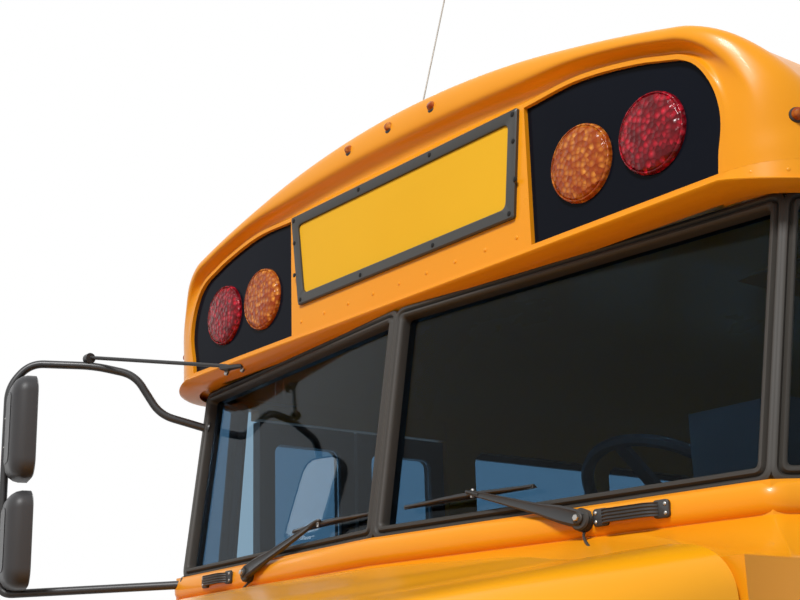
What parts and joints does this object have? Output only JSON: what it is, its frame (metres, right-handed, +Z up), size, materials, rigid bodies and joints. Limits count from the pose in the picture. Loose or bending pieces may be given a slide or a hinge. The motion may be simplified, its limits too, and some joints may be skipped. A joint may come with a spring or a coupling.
{
  "type": "school bus",
  "caption": "Full-size yellow school bus with a tilting hood, folding entrance door, stop arm, roof hatches and a rear emergency door, on a ladder frame.",
  "frame": {"origin": "on the ground under the middle of the bus's length and width", "axes": "+Z up, -Y towards the front of the bus, +X towards its left side, where the driver sits"},
  "size_m": [3.005, 10.9, 4.0394],
  "materials": {
    "body_yellow": "satin",
    "hood_yellow": "gloss",
    "black_paint": "satin",
    "chassis_black": "matte",
    "cast_grey": "matte",
    "black_rubber": "matte",
    "tyre_rubber": "matte",
    "rim_white": "gloss",
    "window_glass": "clear",
    "amber_lens": "gloss",
    "red_lens": "gloss",
    "clear_lens": "gloss",
    "black_plastic": "satin",
    "sign_yellow": "gloss",
    "stop_red": "satin",
    "mirror_black": "satin",
    "floor_grey": "matte",
    "dash_grey": "matte",
    "seat_green": "satin",
    "seat_grey": "matte",
    "exhaust_steel": "satin",
    "tank_grey": "satin",
    "grille_silver": "gloss"
  },
  "bodies": {
    "bus_body": {"amber_lamps": "amber_lens", "antenna": "exhaust_steel", "body_glass": "window_glass", "chassis_frame": "chassis_black", "cowl": "body_yellow", "dashboard": "dash_grey", "driveline": "cast_grey", "driver_seat": "seat_grey", "exhaust": "exhaust_steel", "floor": "floor_grey", "front_axle": "cast_grey", "front_bumper": "black_paint", "front_cap": "body_yellow", "fuel_tank": "tank_grey", "grab_handles": "black_plastic", "leaf_springs": "chassis_black", "mirror_arms": "black_paint", "mirror_heads": "mirror_black", "mud_flaps": "black_rubber", "passenger_seats": "seat_green", "radiator": "cast_grey", "rear_axle": "cast_grey", "rear_bumper": "black_paint", "rear_wall": "body_yellow", "red_lamps": "red_lens", "roof": "body_yellow", "rub_rails": "black_paint", "side_wall_left": "body_yellow", "side_wall_right": "body_yellow", "sign_boards": "sign_yellow", "windshield_frame": "body_yellow", "windshield_gasket": "black_rubber", "windshield_glass": "window_glass"},
    "steering_left": {"knuckle_left": "cast_grey"},
    "steering_right": {"knuckle_right": "cast_grey"},
    "steering_link": {"tie_rod": "cast_grey"},
    "handwheel": {"steering_wheel": "black_plastic"},
    "wheel_front_left": {"wheel_rim_front_left": "rim_white", "tyre_front_left": "tyre_rubber"},
    "wheel_front_right": {"wheel_rim_front_right": "rim_white", "tyre_front_right": "tyre_rubber"},
    "wheel_rear_left": {"wheel_rim_rear_left": "rim_white", "tyre_rear_left": "tyre_rubber"},
    "wheel_rear_right": {"wheel_rim_rear_right": "rim_white", "tyre_rear_right": "tyre_rubber"},
    "tilting_hood": {"hood": "hood_yellow", "grille": "black_plastic", "headlamps": "clear_lens", "crossview_mirrors": "mirror_black"},
    "entrance_front_leaf": {"door_leaf_front": "black_paint", "door_glass_front": "window_glass"},
    "entrance_rear_leaf": {"door_leaf_rear": "black_paint", "door_glass_rear": "window_glass"},
    "emergency_door": {"rear_door": "body_yellow", "rear_door_glass": "window_glass"},
    "stop_sign_arm": {"stop_arm": "stop_red"},
    "hatch_front": {"roof_hatch_front": "body_yellow"},
    "hatch_rear": {"roof_hatch_rear": "body_yellow"},
    "wiper_arm_left": {"wiper_left": "black_plastic"},
    "wiper_arm_right": {"wiper_right": "black_plastic"}
  },
  "joints": [
    {"name": "steer_left", "type": "hinge", "parent": "bus_body", "child": "steering_left", "pos_m": [0.86, -4.41, 0.505], "axis": [0, 0, 1], "range_deg": [-36, 36]},
    {"name": "steer_right", "type": "hinge", "parent": "bus_body", "child": "steering_right", "pos_m": [-0.86, -4.41, 0.505], "axis": [0, 0, 1], "range_deg": [-36, 36]},
    {"name": "steering_link_turn", "type": "hinge", "parent": "steering_left", "child": "steering_link", "pos_m": [0.86, -4.23, 0.442], "axis": [0, 0, 1], "range_deg": [-36, 36]},
    {"name": "handwheel_turn", "type": "hinge", "parent": "bus_body", "child": "handwheel", "pos_m": [0.55, -3.01, 2.01], "axis": [0, 0.6157, 0.788], "range_deg": [-648, 648]},
    {"name": "spin_front_left", "type": "hinge", "parent": "steering_left", "child": "wheel_front_left", "pos_m": [1.01, -4.41, 0.505], "axis": [1, 0, 0], "continuous": true},
    {"name": "spin_front_right", "type": "hinge", "parent": "steering_right", "child": "wheel_front_right", "pos_m": [-1.01, -4.41, 0.505], "axis": [1, 0, 0], "continuous": true},
    {"name": "spin_rear_left", "type": "hinge", "parent": "bus_body", "child": "wheel_rear_left", "pos_m": [0.9, 2.04, 0.505], "axis": [1, 0, 0], "continuous": true},
    {"name": "spin_rear_right", "type": "hinge", "parent": "bus_body", "child": "wheel_rear_right", "pos_m": [-0.9, 2.04, 0.505], "axis": [1, 0, 0], "continuous": true},
    {"name": "hood_tilt", "type": "hinge", "parent": "bus_body", "child": "tilting_hood", "pos_m": [0, -5.33, 0.7], "axis": [1, 0, 0], "range_deg": [0, 65]},
    {"name": "entrance_front_swing", "type": "hinge", "parent": "bus_body", "child": "entrance_front_leaf", "pos_m": [-1.231, -3.021, 1.45], "axis": [0, 0, 1], "range_deg": [0, 85]},
    {"name": "entrance_rear_swing", "type": "hinge", "parent": "bus_body", "child": "entrance_rear_leaf", "pos_m": [-1.231, -2.227, 1.45], "axis": [0, 0, -1], "range_deg": [0, 85]},
    {"name": "emergency_door_swing", "type": "hinge", "parent": "bus_body", "child": "emergency_door", "pos_m": [-0.483, 5.312, 1.715], "axis": [0, 0, 1], "range_deg": [0, 110]},
    {"name": "stop_arm_swing", "type": "hinge", "parent": "bus_body", "child": "stop_sign_arm", "pos_m": [1.257, -2.75, 1.56], "axis": [0, 0, -1], "range_deg": [0, 90]},
    {"name": "hatch_front_lift", "type": "hinge", "parent": "bus_body", "child": "hatch_front", "pos_m": [0, -1.595, 3.089], "axis": [1, 0, 0], "range_deg": [0, 40]},
    {"name": "hatch_rear_lift", "type": "hinge", "parent": "bus_body", "child": "hatch_rear", "pos_m": [0, 2.975, 3.089], "axis": [1, 0, 0], "range_deg": [0, 40]},
    {"name": "wiper_left_sweep", "type": "hinge", "parent": "bus_body", "child": "wiper_arm_left", "pos_m": [0.66056, -3.40128, 1.93447], "axis": [-0.096, 0.9823, -0.1609], "range_deg": [0, 92]},
    {"name": "wiper_right_sweep", "type": "hinge", "parent": "bus_body", "child": "wiper_arm_right", "pos_m": [-0.58056, -3.4091, 1.93447], "axis": [-0.096, -0.9823, 0.1609], "range_deg": [0, 92]}
  ],
  "couplings": [
    {"joint": "steer_right", "follows": "steer_left", "ratio": 1},
    {"joint": "steering_link_turn", "follows": "steer_left", "ratio": -1},
    {"joint": "handwheel_turn", "follows": "steer_left", "ratio": 18},
    {"joint": "entrance_rear_swing", "follows": "entrance_front_swing", "ratio": 1},
    {"joint": "wiper_right_sweep", "follows": "wiper_left_sweep", "ratio": 1}
  ]
}
